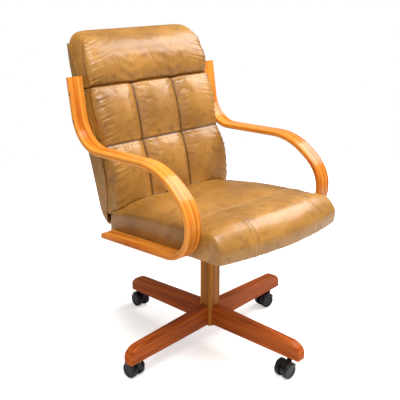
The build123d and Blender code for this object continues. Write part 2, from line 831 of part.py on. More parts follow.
def back_cover():
    """Leather side bands and outside back as one skin, open to the front and top."""
    rear = rear_curve(0)
    foot, top = rear[0] @ 0, rear[-1] @ 1
    band_top = (-band_top_depth, back_top)
    band_low = (-band_low_depth, band_low_height)
    band_mid = (-band_mid_depth, (back_top + band_low_height) / 2)
    band_foot = (-band_foot_depth, band_foot_height)
    outline = rear + [
        Line(top, band_top),
        ThreePointArc(band_top, band_mid, band_low),
        bulge(band_low, band_foot, -band_foot_swell),
        Line(band_foot, foot),
    ]
    blank = side_extrude(make_face(outline), back_half_width)
    blank = round_rear(blank, cover_corner)
    skin = back_place * (blank - cover_inside(cover))
    return skin - arm_screw_row(arm_screw_d + 2 * ease)


def back_panel():
    middle = (back_low + panel_top) / 2
    outline = Rectangle(2 * panel_half_width, panel_top - back_low)
    panel = extrude(Plane.XZ * Pos(0, middle) * outline, panel_thickness)
    return back_place * Pos(0, -cover - ease, 0) * panel


def rail_blank(side, grow):
    near = -panel_front - ease + grow
    outline = Polygon(
        (rail_inner - grow, near),
        (rail_outer + grow, near),
        (rail_outer + grow, rail_chamfer_y - rail_front),
        (rail_outer - rail_chamfer_x + grow, -rail_front - grow),
        (rail_inner - grow, -rail_front - grow),
        align=None,
    )
    blank = extrude(outline, rail_high - rail_low + 2 * grow, dir=(0, 0, 1))
    blank = Pos(0, 0, rail_low - grow) * blank
    return blank if side > 0 else mirror(blank, Plane.YZ)


def back_side_rail(side):
    return back_place * rail_blank(side, 0) - arm_screw_row(arm_screw_d + 2 * snug)


def pad_section(x, depths):
    """Side view of the sewn pads at one station across the back."""
    low_depth, row_depth, high_depth, low_swell, high_swell = depths
    rear = -panel_front - ease
    low = (-low_depth, pad_low)
    row = (-row_depth, pad_row)
    high = (-high_depth, pad_high)
    outline = [
        Line((rear, pad_low), low),
        bulge(low, row, low_swell),
        bulge(row, high, high_swell),
        Line(high, (rear, pad_high)),
        Line((rear, pad_high), (rear, pad_low)),
    ]
    return Plane.YZ.offset(x) * make_face(outline)


def swell_stations(edge, middle, edge_shape, full_shape, power):
    """Stations from an edge to the middle, swelling fast at first and level at the end."""
    stations = []
    for step in pad_steps:
        share = 1 - (1 - step) ** power
        shape = [low + (high - low) * share for low, high in zip(edge_shape, full_shape)]
        stations.append((edge + (middle - edge) * step, shape))
    return stations


def pad_column(left, right, left_edge, right_edge):
    middle = (left + right) / 2
    stations = swell_stations(left, middle, left_edge[0], pad_crown, left_edge[1])
    stations.append((middle, pad_crown))
    stations += swell_stations(right, middle, right_edge[0], pad_crown, right_edge[1])[::-1]
    return loft([pad_section(*station) for station in stations])


def back_cushion():
    """Six sewn pads in three columns, swelling between the seams."""
    half = back_half_width - cover - ease
    groove = (pad_groove, pad_groove_rise)
    side = (pad_side, pad_side_rise)
    pads = pad_column(-half, -pad_seam_x, side, groove)
    pads += pad_column(-pad_seam_x, pad_seam_x, groove, groove)
    pads += pad_column(pad_seam_x, half, groove, side)
    pads -= [rail_blank(-1, ease), rail_blank(1, ease)]
    return back_place * pads - arm_screw_row(arm_screw_d + 2 * ease)


def head_section(x, shape):
    """Side view of the head pillow at one station across the back."""
    seam_depth, front_depth, swell, top_depth, top, rear_inset = shape
    inner = -panel_front - ease
    low = pad_high + ease
    ledge = panel_top + ease
    seam = (-seam_depth, low)
    front = (-front_depth, head_front_height)
    crest = (-top_depth, top)
    rear = rear_curve(cover + rear_inset)[-1] @ 1
    rear = (rear.X, rear.Y)
    fold = (-cover - rear_inset, ledge)
    outline = [
        Line((inner, low), seam),
        bulge(seam, front, swell),
        bulge(front, crest, swell),
        bulge(crest, rear, swell / 2),
        Line(rear, fold),
        Line(fold, (inner, ledge)),
        Line((inner, ledge), (inner, low)),
    ]
    return Plane.YZ.offset(x) * make_face(outline)


def head_pillow():
    """Full-width roll above the pads, folded over the top of the panel."""
    half = back_half_width - cover - ease
    inner = half - head_shoulder
    full = (head_seam_depth, head_front_depth, head_swell, head_top_depth, head_top, head_rear_gap)
    end_top = (band_top_depth, back_top + head_end_rise, cover_corner)
    end = (pad_side[2], head_end_depth, head_end_swell, *end_top)
    pillow = loft([head_section(-inner, full), head_section(inner, full)], ruled=True)
    for side in (-1, 1):
        stations = swell_stations(side * half, side * inner, end, full, head_rise)
        stations.append((side * inner, full))
        pillow += loft([head_section(*station) for station in stations])
    pillow -= [rail_blank(-1, ease), rail_blank(1, ease)]
    return back_place * pillow


nodes = {
    "pedestal_post": pedestal_post(),
    "leg_bolts": leg_bolts(),
    "caster_sockets": caster_sockets(),
    "upper_bush": upper_bush(),
    "lower_bush": lower_bush(),
    "swivel_spindle": swivel_spindle(),
    "spindle_clip": spindle_clip(),
    "thrust_washer": thrust_washer_ring(),
    "tilt_housing": tilt_housing(),
    "tilt_pivot_pin": tilt_pivot_pin(),
    "pivot_clip": pivot_clip(),
    "tilt_bumpers": tilt_bumpers(),
    "tension_spring": tension_spring(),
    "tilt_plate": tilt_plate(),
    "plate_bolts": plate_bolts(),
    "tee_nuts": tee_nuts(),
    "tension_bolt": tension_bolt(),
    "spring_cup": spring_cup(),
    "tension_knob": tension_knob(),
    "seat_board": seat_board(),
    "seat_strap_front": seat_strap(-1),
    "seat_strap_rear": seat_strap(1),
    "strap_screws": strap_screws(),
    "seat_cushion": seat_cushion(),
    "arm_left": arm(1),
    "arm_right": arm(-1),
    "arm_screws": arm_screws(),
    "back_panel": back_panel(),
    "back_rail_left": back_side_rail(1),
    "back_rail_right": back_side_rail(-1),
    "back_cover": back_cover(),
    "back_cushion": back_cushion(),
    "head_pillow": head_pillow(),
}
for place, angle in leg_angles.items():
    spot = caster_spot(angle) * Rot(0, 0, trail_angles[place])
    nodes[f"leg_{place}"] = leg(angle)
    nodes[f"caster_{place}_stem"] = spot * caster_stem()
    nodes[f"caster_{place}_hood"] = spot * caster_hood()
    nodes[f"caster_{place}_axle"] = spot * caster_axle()
    nodes[f"caster_{place}_wheel_a"] = spot * caster_wheel(1)
    nodes[f"caster_{place}_wheel_b"] = spot * caster_wheel(-1)

os.makedirs("parts", exist_ok=True)
for name, shape in nodes.items():
    export_step(shape, f"parts/{name}.step")
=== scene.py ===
import json
from math import cos, radians, sin, tau

import bmesh
import bpy
import numpy as np
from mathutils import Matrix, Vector
from mathutils.bvhtree import BVHTree


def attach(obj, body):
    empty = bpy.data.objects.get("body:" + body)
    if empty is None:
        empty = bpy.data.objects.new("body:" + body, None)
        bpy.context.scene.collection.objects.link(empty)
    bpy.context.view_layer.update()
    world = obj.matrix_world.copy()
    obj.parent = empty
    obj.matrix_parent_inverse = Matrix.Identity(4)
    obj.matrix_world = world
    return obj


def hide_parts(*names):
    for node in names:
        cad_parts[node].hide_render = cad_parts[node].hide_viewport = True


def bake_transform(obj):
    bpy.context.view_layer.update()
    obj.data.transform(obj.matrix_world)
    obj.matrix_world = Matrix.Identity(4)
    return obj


# Looks of the swivel armchair. Points in the row frame are metres, points in a leaned frame are millimetres.

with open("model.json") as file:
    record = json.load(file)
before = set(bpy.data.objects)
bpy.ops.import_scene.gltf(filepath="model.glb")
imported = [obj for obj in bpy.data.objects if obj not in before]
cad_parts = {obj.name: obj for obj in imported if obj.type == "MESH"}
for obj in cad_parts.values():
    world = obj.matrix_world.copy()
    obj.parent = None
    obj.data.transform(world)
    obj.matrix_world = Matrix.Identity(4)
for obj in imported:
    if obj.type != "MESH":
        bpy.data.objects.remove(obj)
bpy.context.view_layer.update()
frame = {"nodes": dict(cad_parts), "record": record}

# Frames that the seat and the back were drawn in: origin and backward lean
SEAT_FRAME = ((0, 0, 0.404), radians(5.2))
BACK_FRAME = ((0, 0.269, 0.520), radians(16.9))

# Seams, in millimetres in those frames
PAD_SEAM_X = 83.0
PAD_ROW = 119.0
PAD_HIGH = 303.0
PAD_LOW = -47.0
PAD_HALF = 247.0
CROSS_SEAM = -172.0
LONG_SEAM_X = 128.0

# Swelling of the padded pieces
VOXEL = 0.005
SMOOTHING = 3
PRESSURE = 4.0
SWELL_FRAMES = 20
SWELL_CAP = 6.0
HELD_LEAST = 0.02
HELD_WIDTH = 9.0  # the cover is held this far from a seam
HELD_SHARP = 4.0  # how fast the hold fades in as a face turns away from the front
PAD_SPARE = 0.01  # share of spare leather
ROLL_SPARE = 0.004
SEAT_SPARE = 0.0
SEAT_HELD_SHARP = 3.0

# Seam grooves: depth and width, and width of the painted shade line down in them
PAD_GROOVE = (4.0, 5.0)
PAD_LINE = 3.4
ROLL_GROOVE = (4.0, 6.0)
ROLL_LINE = 4.0
SEAT_GROOVE = (1.6, 4.0)
SEAT_LINE = 3.0
SEAT_LINE_SHARE = 0.3
SHOWN_SHARP = 2.0  # how fast the grooves fade out as a face turns away from the front
SEAT_SHOWN_LOW = 4.0
SEAT_SHOWN_RUN = 10.0
SEAT_SIDE_FADE = 1.5

# Puckers: height, length along the seam, start of the wave, and how far from the seam they die away
COLUMN_PUCKER = (0.7, 21.0, 0.3, 15.0)
ROW_PUCKER = (0.7, 24.0, 1.1, 17.0)
HEAD_PUCKER = (0.7, 22.0, 2.0, 17.0)
PAD_END_PUCKER = (3.2, 19.0, 3.1, 24.0)
PAD_END_SLANT = 0.25
ROLL_PUCKER = (1.0, 30.0, 0.7, 30.0)
ROLL_END_PUCKER = (2.4, 18.0, 2.4, 30.0)
ROLL_END_SLANT = 0.3
ROLL_CREASE = (2.6, 34.0)  # height and length of the creases that start where the columns meet the roll
ROLL_CREASE_SLANT = 0.5
CROSS_PUCKER = (0.5, 31.0, 0.4, 14.0)
SEAT_SIDE_PUCKER = (0.8, 48.0, 1.3, 40.0)
SEAT_SIDE_SLANT = 0.3

# The back's ends swell sideways in front of the arms
SIDE_BULGE = 11.0
BULGE_DEPTH = 72.0
BULGE_RUN = 14.0
BULGE_INWARD = 60.0
ARM_PASS = 135.0  # height on the back where the arms run past it
ARM_CLEAR = 30.0
ARM_RUN = 60.0

# The lower pads sink down to the seat
PAD_SETTLE = 44.0
SETTLE_START = PAD_ROW / 3
SETTLE_EASE = 1.5
SETTLE_DEPTH = 16.0
SETTLE_RUN = 14.0
SEAT_TOUCH = 0.0015
DROP_FROM = 0.2

# Fall of the roll's upper corners
ROLL_CORNER = 14.0
ROLL_CORNER_RUN = 70.0
ROLL_CORNER_START = 400.0
ROLL_CORNER_RISE = 80.0

# Stitching: double rows, drawn a little above the seat and laid onto it
STITCH_OFFSET = 4.0
STITCH_PITCH = 8.0
STITCH_LENGTH = 5.5
STITCH_FLAT = 0.7  # share of a stitch before it tapers
THREAD = 0.55
CROSS_REACH = 240.0
CROSS_HEIGHT = 110.0
LONG_START = CROSS_SEAM - 6.0
LONG_HEIGHT = 106.0
FRONT_CENTRE = (-232.0, 8.0)  # middle of the rounded front edge
FRONT_RADII = (95.0, 92.0)
FRONT_SWEEP = radians(112)
FRONT_STEPS = 40

# Tension spring
SPRING_AXIS_Y = -85.0
SPRING_TOP = -9.6
SPRING_LENGTH = 36.0
SPRING_RADIUS = 13.5
SPRING_WIRE = 2.5
SPRING_TURNS = 4
SPRING_STEPS = 24
WIRE_SIDES = 10

# Turn of the parked base about the post, in degrees
BASE_TURN = 5.0

# Sizes of the surface patterns, in millimetres
LEATHER_TONE = 125.0
LEATHER_MOTTLE = 23.8
LEATHER_FOLD = 14.3
LEATHER_GRAIN = 1.6
STREAK_WIDTH = 8.0  # pores are a tenth of this and wouldn't show, so the streaks are drawn this coarse
STREAK_LENGTH = 300.0
MOULD_GRAIN = 1.1  # the grit of a mould is finer and wouldn't show, so it is drawn this coarse

# Colours as seen
LEATHER = ("#8C6024", "#A87632")
LEATHER_CLOUD = "#764C20"
# painted shade: dark brown laid down in the seam grooves
LEATHER_SEAM_SHADE = "#4A2C10"
THREAD_COLOUR = "#D9B27A"
ARM_WOOD = ("#E09036", "#B65C14")
LEG_WOOD = ("#B05418", "#84380A")
POST_WOOD = ("#B06C1C", "#864A0E")
FRAME_WOOD = ("#D2B48A", "#B8946A")
ZINC = "#B9BABD"
ENAMEL = "#1B1B1D"
NYLON = "#DDD8CC"
RUBBER = "#202021"
CASTER_BLACK = "#101012"
FLOOR_WHITE = "#F4F4F4"

# Camera, solved from the photograph
CAMERA_PLACE = (-1.393, -1.460, 1.177)
CAMERA_YAW = radians(42.72)
CAMERA_PITCH = radians(18.87)
CAMERA_LENS = 61.0
CAMERA_SENSOR = 36.0

# Studio: name, place, size and power of each soft light
LIGHTS = [
    ("key", (1.9, -0.5, 2.6), 1.8, 82),
    ("top", (-0.6, -0.9, 2.8), 1.6, 86),
    ("fill", (-2.4, -1.8, 1.6), 1.8, 12),
]
LIGHT_AIM = Vector((0, 0, 0.5))
AMBIENT = 0.30
FLOOR_RADIUS = 2.4
FLOOR_DROP = 0.0005
FLOOR_FADE = 0.5
FLOOR_GLOW = 0.5


def local_axes(place):
    """Origin, backward and upward directions of a leaned frame."""
    origin, lean = place
    back = np.array([0, cos(lean), -sin(lean)])
    up = np.array([0, sin(lean), cos(lean)])
    return np.array(origin), back, up


def to_local(points, place):
    """Row frame in metres to a leaned frame in millimetres."""
    origin, back, up = local_axes(place)
    moved = points - origin
    return np.column_stack([moved[:, 0], moved @ back, moved @ up]) * 1000


def from_local(points, place):
    """A leaned frame in millimetres to the row frame in metres."""
    origin, back, up = local_axes(place)
    x, y, z = np.asarray(points, float).T / 1000
    return origin + np.outer(x, (1, 0, 0)) + np.outer(y, back) + np.outer(z, up)


def new_piece(name, points, faces):
    mesh = bpy.data.meshes.new(name)
    mesh.from_pydata(points.tolist(), [], [face.tolist() for face in faces])
    mesh.validate()
    mesh.shade_smooth()
    piece = bpy.data.objects.new(name, mesh)
    bpy.context.scene.collection.objects.link(piece)
    return piece


def baked(piece):
    """Make the piece's modifiers final."""
    view = bpy.context.evaluated_depsgraph_get()
    piece.data = bpy.data.meshes.new_from_object(piece.evaluated_get(view))
    piece.modifiers.clear()
    piece.data.shade_smooth()
    return piece


def soft_copy(node, name):
    """Closed, even and softened mesh in the shape of a node."""
    piece = bpy.data.objects.new(name, frame["nodes"][node].data.copy())
    bpy.context.scene.collection.objects.link(piece)
    piece.data.materials.clear()
    merge = bmesh.new()
    merge.from_mesh(piece.data)
    bmesh.ops.remove_doubles(merge, verts=merge.verts, dist=1e-5)
    merge.to_mesh(piece.data)
    merge.free()
    even = piece.modifiers.new("even", "REMESH")
    even.mode = "VOXEL"
    even.voxel_size = VOXEL
    soften = piece.modifiers.new("soften", "SMOOTH")
    soften.iterations = SMOOTHING
    return baked(piece)


def vertex_arrays(piece):
    """Points and normals of a piece as two arrays."""
    mesh = piece.data
    count = len(mesh.vertices)
    points = np.empty(count * 3)
    normals = np.empty(count * 3)
    mesh.vertices.foreach_get("co", points)
    mesh.vertex_normals.foreach_get("vector", normals)
    return points.reshape(-1, 3), normals.reshape(-1, 3)


def set_points(piece, points, seam_shade):
    """Write moved points back, with a 0 to 1 value of painted shade in the seams that the leather reads."""
    piece.data.vertices.foreach_set("co", points.ravel())
    layer = piece.data.attributes.new("seam_shade", "FLOAT", "POINT")
    layer.data.foreach_set("value", np.clip(seam_shade, 0, 1))
    piece.data.update()


def blow_up(piece, held, spare):
    """Cloth under pressure, still where it is held. A move m ends up cap * tanh(m / cap) long."""
    start, normals = vertex_arrays(piece)
    group = piece.vertex_groups.new(name="held")
    for index in np.flatnonzero(held > HELD_LEAST):
        group.add([int(index)], float(held[index]), "REPLACE")
    points = start - normals * ((1 - held) * SWELL_CAP / 2000)[:, None]
    piece.data.vertices.foreach_set("co", points.ravel())
    cloth = piece.modifiers.new("swell", "CLOTH")
    cloth.settings.vertex_group_mass = "held"
    cloth.settings.use_pressure = True
    cloth.settings.uniform_pressure_force = PRESSURE
    cloth.settings.shrink_min = -spare
    cloth.settings.effector_weights.gravity = 0
    cloth.collision_settings.use_collision = False
    for step in range(1, SWELL_FRAMES + 1):
        bpy.context.scene.frame_set(step)
    baked(piece)
    bpy.context.scene.frame_set(1)
    moved = vertex_arrays(piece)[0] - start
    reach = np.linalg.norm(moved, axis=1)
    cap = SWELL_CAP / 1000
    kept = cap * np.tanh(reach / cap) / np.maximum(reach, 1e-9)
    piece.data.vertices.foreach_set("co", (start + moved * kept[:, None]).ravel())
    piece.data.update()
    piece.vertex_groups.clear()


def swell(piece, held, spare):
    """Blow the cover up between the lines that hold it, then refine the mesh."""
    blow_up(piece, held, spare)
    refine = piece.modifiers.new("refine", "SUBSURF")
    refine.levels = 1
    return baked(piece)


def ripple(along, length, start):
    """Irregular wave from -1 to 1: two sines of about the given length, with a slow drift in phase."""
    turn = tau * along / length
    slow = 0.8 * np.sin(turn / 3.3 + 2 * start)
    return 0.6 * np.sin(turn + start + slow) + 0.4 * np.sin(turn / 0.61 + 1.7 * start - slow)


def ridge(distance, width):
    """1 on a line, falling off as a bell of the given width."""
    return np.exp(-((distance / width) ** 2))


def fade(distance, length):
    """1 on a line, dying away by a factor e over each length."""
    return np.exp(-np.abs(distance) / length)


def pucker(along, away, size, shift=0.0):
    """Wave that runs along a seam and dies away from it."""
    height, length, start, reach = size
    return height * ripple(along, length, start + shift) * fade(away, reach)


def pad_seams(points):
    """Millimetres from the pads' column, row, head and side seams, with the signed x and s."""
    x, _, s = to_local(points, BACK_FRAME).T
    return np.abs(np.abs(x) - PAD_SEAM_X), s - PAD_ROW, PAD_HIGH - s, PAD_HALF - np.abs(x), x, s


def facing_front(normals, sharp):
    """1 where a face looks forward, falling to 0 as it turns to the side."""
    forward = -local_axes(BACK_FRAME)[1]
    return np.clip(normals @ forward * sharp, 0, 1)


def bulge_sides(points):
    """Swell the ends of a back piece sideways, in front of the arms and clear of where they pass."""
    x, y, s = to_local(points, BACK_FRAME).T
    lift = np.clip((-y - BULGE_DEPTH) / BULGE_RUN, 0, 1)
    end = np.clip(1 - (PAD_HALF - np.abs(x)) / BULGE_INWARD, 0, 1)
    room = np.clip((np.abs(s - ARM_PASS) - ARM_CLEAR) / ARM_RUN, 0, 1)
    points[:, 0] += np.sign(x) * lift * end * room * SIDE_BULGE / 1000


def settle(points, seat_surface):
    """Let the foot of the lower pads sink, most at its lowest edge, until it rests on the seat."""
    _, y, s = to_local(points, BACK_FRAME).T
    low = np.clip((SETTLE_START - s) / (SETTLE_START - PAD_LOW), 0, 1) ** SETTLE_EASE
    sink = low * np.clip((-y - SETTLE_DEPTH) / SETTLE_RUN, 0, 1)
    points -= np.outer(sink * PAD_SETTLE / 1000, local_axes(BACK_FRAME)[2])
    for index in np.flatnonzero(sink > 0):
        x, y, z = points[index]
        hit = seat_surface.ray_cast(Vector((x, y, z + DROP_FROM)), Vector((0, 0, -1)))[0]
        if hit:
            points[index, 2] = max(z, hit.z + SEAT_TOUCH)


def back_pads(seat_surface):
    """Six pads, sewn down along their grooves, with puckers that fade away from the seams."""
    piece = soft_copy("back_cushion", "back_pads")
    points, normals = vertex_arrays(piece)
    column, row, head, _, _, _ = pad_seams(points)
    seam = np.maximum.reduce([ridge(distance, HELD_WIDTH) for distance in (column, row, head)])
    swell(piece, np.maximum(seam, 1 - facing_front(normals, HELD_SHARP)), PAD_SPARE)
    points, normals = vertex_arrays(piece)
    column, row, head, side, x, s = pad_seams(points)
    near = np.minimum.reduce([column, np.abs(row), np.abs(head)])
    depth, width = PAD_GROOVE
    folds = pucker(s, column, COLUMN_PUCKER, np.sign(x))
    folds += pucker(x, row, ROW_PUCKER)
    folds += pucker(x, head, HEAD_PUCKER)
    folds += pucker(s + PAD_END_SLANT * np.abs(x), side, PAD_END_PUCKER, np.sign(x))
    shown = facing_front(normals, SHOWN_SHARP)
    push = shown * (folds * (1 - ridge(near, HELD_WIDTH)) - depth * ridge(near, width))
    points -= np.outer(push / 1000, local_axes(BACK_FRAME)[1])
    bulge_sides(points)
    settle(points, seat_surface)
    # painted shade down in the pad grooves, on faces that look forward
    set_points(piece, points, shown * ridge(near, PAD_LINE))
    return piece


def drop_corners(points):
    """Round off the roll's upper corners: the fall grows towards the ends and with height."""
    x, _, s = to_local(points, BACK_FRAME).T
    end = np.clip(1 - (PAD_HALF - np.abs(x)) / ROLL_CORNER_RUN, 0, 1) ** 2
    high = np.clip((s - ROLL_CORNER_START) / ROLL_CORNER_RISE, 0, 1)
    points -= np.outer(end * high * ROLL_CORNER / 1000, local_axes(BACK_FRAME)[2])


def head_roll():
    """Roll above the pads, gathered along its lower seam and ruched along its ends."""
    piece = soft_copy("head_pillow", "head_roll")
    points, normals = vertex_arrays(piece)
    head = pad_seams(points)[2]
    held = np.maximum(ridge(head, HELD_WIDTH), 1 - facing_front(normals, HELD_SHARP))
    swell(piece, held, ROLL_SPARE)
    points, normals = vertex_arrays(piece)
    column, _, head, side, x, s = pad_seams(points)
    depth, width = ROLL_GROOVE
    groove = ridge(head, width)
    height, length = ROLL_CREASE
    folds = pucker(x, head, ROLL_PUCKER)
    wave = np.sin(tau * (head + ROLL_CREASE_SLANT * column) / length)
    folds += height * wave * fade(np.hypot(column, head), length)
    folds += pucker(s + ROLL_END_SLANT * np.abs(x), side, ROLL_END_PUCKER, np.sign(x))
    shown = facing_front(normals, SHOWN_SHARP)
    push = shown * (folds * (1 - groove) - depth * groove)
    points -= np.outer(push / 1000, local_axes(BACK_FRAME)[1])
    bulge_sides(points)
    drop_corners(points)
    # painted shade down in the roll's lower groove
    set_points(piece, points, shown * ridge(head, ROLL_LINE))
    return piece


def seat_seam_distance(x, v):
    """Distance to the cross seam and the two seams that run forward from it."""
    cross = np.abs(v - CROSS_SEAM)
    beside = np.abs(x) - LONG_SEAM_X
    along = np.where(v < CROSS_SEAM, np.abs(beside), np.hypot(beside, cross))
    return np.minimum(cross, along)


def seat_pad():
    """Crowned seat with a waterfall front, drawn in along its stitched seams."""
    piece = soft_copy("seat_cushion", "seat_pad")
    points, normals = vertex_arrays(piece)
    x, v, _ = to_local(points, SEAT_FRAME).T
    up = local_axes(SEAT_FRAME)[2]
    top = np.clip(normals @ up * SEAT_HELD_SHARP, 0, 1)
    swell(piece, np.maximum(ridge(seat_seam_distance(x, v), HELD_WIDTH), 1 - top), SEAT_SPARE)
    points, normals = vertex_arrays(piece)
    x, v, w = to_local(points, SEAT_FRAME).T
    distance = seat_seam_distance(x, v)
    side = np.clip(SEAT_SIDE_FADE * (1 - np.abs(normals[:, 0])), 0, 1)
    shown = np.clip((w - SEAT_SHOWN_LOW) / SEAT_SHOWN_RUN, 0, 1) * side
    depth, width = SEAT_GROOVE
    groove = ridge(distance, width)
    folds = pucker(x, v - CROSS_SEAM, CROSS_PUCKER)
    folds += pucker(v + SEAT_SIDE_SLANT * x, PAD_HALF - np.abs(x), SEAT_SIDE_PUCKER)
    push = shown * (folds * (1 - groove) - depth * groove)
    points += normals * (push / 1000)[:, None]
    # faint painted shade down in the seat's seam grooves
    set_points(piece, points, SEAT_LINE_SHARE * shown * ridge(distance, SEAT_LINE))
    return piece


def surface_of(piece):
    view = bpy.context.evaluated_depsgraph_get()
    return BVHTree.FromObject(piece, view)


def walk(path, pitch):
    """Points at an even pitch along a polyline, with their directions."""
    steps = np.linalg.norm(np.diff(path, axis=0), axis=1)
    reach = np.concatenate([[0], np.cumsum(steps)])
    stops = np.arange(pitch / 2, reach[-1], pitch)
    behind, points, ahead = (
        np.column_stack([np.interp(stops + shift, reach, path[:, k]) for k in range(3)])
        for shift in (-pitch / 4, 0, pitch / 4)
    )
    way = ahead - behind
    return points, way / np.linalg.norm(way, axis=1)[:, None]


def stitches(name, surface, paths):
    """Four-sided threads that taper to a point at both ends, laid on a surface along lines drawn near it.

    Every stitch has the same corners: each lies so far along the seam, so far across it and so far off
    the surface from the stitch's middle.
    """
    around = np.array([(-1, 0), (0, 1), (1, 0), (0, -1)])
    rings = [np.column_stack([np.full(4, end * STITCH_FLAT), around]) for end in (-1, 1)]
    tips = [(-1, 0, -1), (1, 0, -1)]
    corners = np.vstack([*rings, tips]) * (STITCH_LENGTH / 2000, THREAD / 1000, THREAD / 1000)
    spots, ways = (np.vstack(rows) for rows in zip(*(walk(path, STITCH_PITCH / 1000) for path in paths)))
    nearest = [surface.find_nearest(Vector(spot))[:2] for spot in spots]
    hits, normals = (np.array([tuple(row) for row in rows]) for rows in zip(*nearest))
    ways -= normals * np.sum(ways * normals, axis=1)[:, None]
    ways /= np.linalg.norm(ways, axis=1)[:, None]
    axes = np.stack([ways, np.cross(normals, ways), normals], axis=1)
    points = hits[:, None] + corners @ axes
    this = np.arange(4)
    then = (this + 1) % 4
    walls = np.column_stack([this, then, then + 4, this + 4])
    start_tip = np.column_stack([then, this, np.full(4, 8)])
    end_tip = np.column_stack([this + 4, then + 4, np.full(4, 9)])
    first = len(corners) * np.arange(len(spots))[:, None, None]
    ends = np.vstack([start_tip, end_tip])
    faces = [*(walls + first).reshape(-1, 4), *(ends + first).reshape(-1, 3)]
    return new_piece(name, points.reshape(-1, 3), faces)


def seat_stitch_paths():
    """Double rows beside the cross seam, and beside the seams that run on over the rounded front edge."""
    middle_v, middle_w = FRONT_CENTRE
    reach, rise = FRONT_RADII
    turn = np.linspace(0, FRONT_SWEEP, FRONT_STEPS)
    v = np.concatenate([[LONG_START], middle_v - reach * np.sin(turn)])
    w = np.concatenate([[LONG_HEIGHT], middle_w + rise * np.cos(turn)])
    paths = []
    for offset in (-STITCH_OFFSET, STITCH_OFFSET):
        cross = [(end, CROSS_SEAM + offset, CROSS_HEIGHT) for end in (-CROSS_REACH, CROSS_REACH)]
        paths.append(from_local(cross, SEAT_FRAME))
        for middle in (-LONG_SEAM_X, LONG_SEAM_X):
            paths.append(from_local(np.column_stack([np.full_like(v, middle + offset), v, w]), SEAT_FRAME))
    return paths


def helix_tube(name):
    """Wire round a falling circle: a turns about the spring's axis and b about the wire.

    The reach from the axis is the spring's radius plus the wire's radius times cos b. The height is the
    wire's radius times sin b, less a fall that grows evenly with a.
    """
    a = np.linspace(0, tau * SPRING_TURNS, SPRING_STEPS * SPRING_TURNS + 1)[:, None]
    b = np.linspace(0, tau, WIRE_SIDES, endpoint=False)[None, :]
    fall = (SPRING_LENGTH - 2 * SPRING_WIRE) * a / a[-1]
    reach = SPRING_RADIUS + SPRING_WIRE * np.cos(b)
    height = SPRING_TOP - SPRING_WIRE - fall + SPRING_WIRE * np.sin(b)
    points = np.stack([reach * np.cos(a), SPRING_AXIS_Y + reach * np.sin(a), height], axis=-1)
    index = np.arange(a.size * b.size).reshape(a.size, b.size)
    beside = np.roll(index, -1, axis=1)
    walls = np.stack([index[:-1], beside[:-1], beside[1:], index[1:]], axis=-1)
    faces = [*walls.reshape(-1, 4), index[0, ::-1], index[-1]]
    return new_piece(name, from_local(points.reshape(-1, 3), SEAT_FRAME), faces)


def linear(colour):
    """Hex colour as seen to the linear values that a shader takes."""
    parts = [int(colour[k : k + 2], 16) / 255 for k in (1, 3, 5)]
    return [c / 12.92 if c <= 0.04045 else ((c + 0.055) / 1.055) ** 2.4 for c in parts] + [1]


def per_metre(size):
    """Scale of a pattern whose features are the given size in millimetres."""
    return 1000 / size


def new_material(name, roughness, colour=None, metallic=0.0, coat=0.0, gloss=0.35):
    material = bpy.data.materials.new(name)
    material.use_nodes = True
    shader = material.node_tree.nodes["Principled BSDF"]
    shader.inputs["Roughness"].default_value = roughness
    shader.inputs["Metallic"].default_value = metallic
    shader.inputs["Coat Weight"].default_value = coat
    shader.inputs["Specular IOR Level"].default_value = gloss
    if colour:
        shader.inputs["Base Color"].default_value = linear(colour)
    return material


def add(owner, kind, links=(), **values):
    """Add a node, set its plain inputs by name and link others from (input, node, output)."""
    node = owner.node_tree.nodes.new(kind)
    for key, value in values.items():
        name = key.replace("_", " ")
        if name in node.inputs:
            node.inputs[name].default_value = value
        else:
            setattr(node, key, value)
    for name, source, output in links:
        owner.node_tree.links.new(node.inputs[name], source.outputs[output])
    return node


def join(material, source, output, name):
    """Link a node to the material's shader."""
    shader = material.node_tree.nodes["Principled BSDF"]
    material.node_tree.links.new(shader.inputs[name], source.outputs[output])


def leather():
    """Coated upholstery leather, embossed and stretched over foam.

    It gives the eye soft broad highlights, a cloudy brown mottle, slight folds and painted shade as dark
    lines in the seams.
    """
    material = new_material("camel leather", 0.38, coat=0.12, gloss=0.45)
    place = add(material, "ShaderNodeTexCoord")
    here = ("Vector", place, "Object")
    cloud = add(material, "ShaderNodeTexNoise", [here], Scale=per_metre(LEATHER_TONE), Detail=4.0)
    share = add(material, "ShaderNodeMapRange", [("Value", cloud, "Fac")], From_Min=0.35, From_Max=0.65)
    tone = add(material, "ShaderNodeMixRGB", [("Fac", share, "Result")],
               Color1=linear(LEATHER[0]), Color2=linear(LEATHER[1]))
    mottle = add(material, "ShaderNodeTexNoise", [here], Scale=per_metre(LEATHER_MOTTLE), Detail=6.0)
    spread = add(material, "ShaderNodeMapRange", [("Value", mottle, "Fac")],
                 From_Min=0.52, From_Max=0.72, To_Max=0.6)
    worn = add(material, "ShaderNodeMixRGB", [("Fac", spread, "Result"), ("Color1", tone, "Color")],
               Color2=linear(LEATHER_CLOUD))
    # painted shade: the seam shade value mixes dark brown into the seam grooves
    seam_shade = add(material, "ShaderNodeAttribute", attribute_name="seam_shade")
    mix = add(material, "ShaderNodeMixRGB", [("Fac", seam_shade, "Fac"), ("Color1", worn, "Color")],
              Color2=linear(LEATHER_SEAM_SHADE))
    join(material, mix, "Color", "Base Color")
    grain = add(material, "ShaderNodeTexVoronoi", [here], Scale=per_metre(LEATHER_GRAIN))
    fold = add(material, "ShaderNodeTexNoise", [here], Scale=per_metre(LEATHER_FOLD), Detail=5.0)
    fine = add(material, "ShaderNodeBump", [("Height", grain, "Distance")], Strength=0.12, Distance=0.0006)
    bump = add(material, "ShaderNodeBump", [("Height", fold, "Fac"), ("Normal", fine, "Normal")],
               Strength=0.12, Distance=0.0016)
    join(material, bump, "Normal", "Normal")
    return material


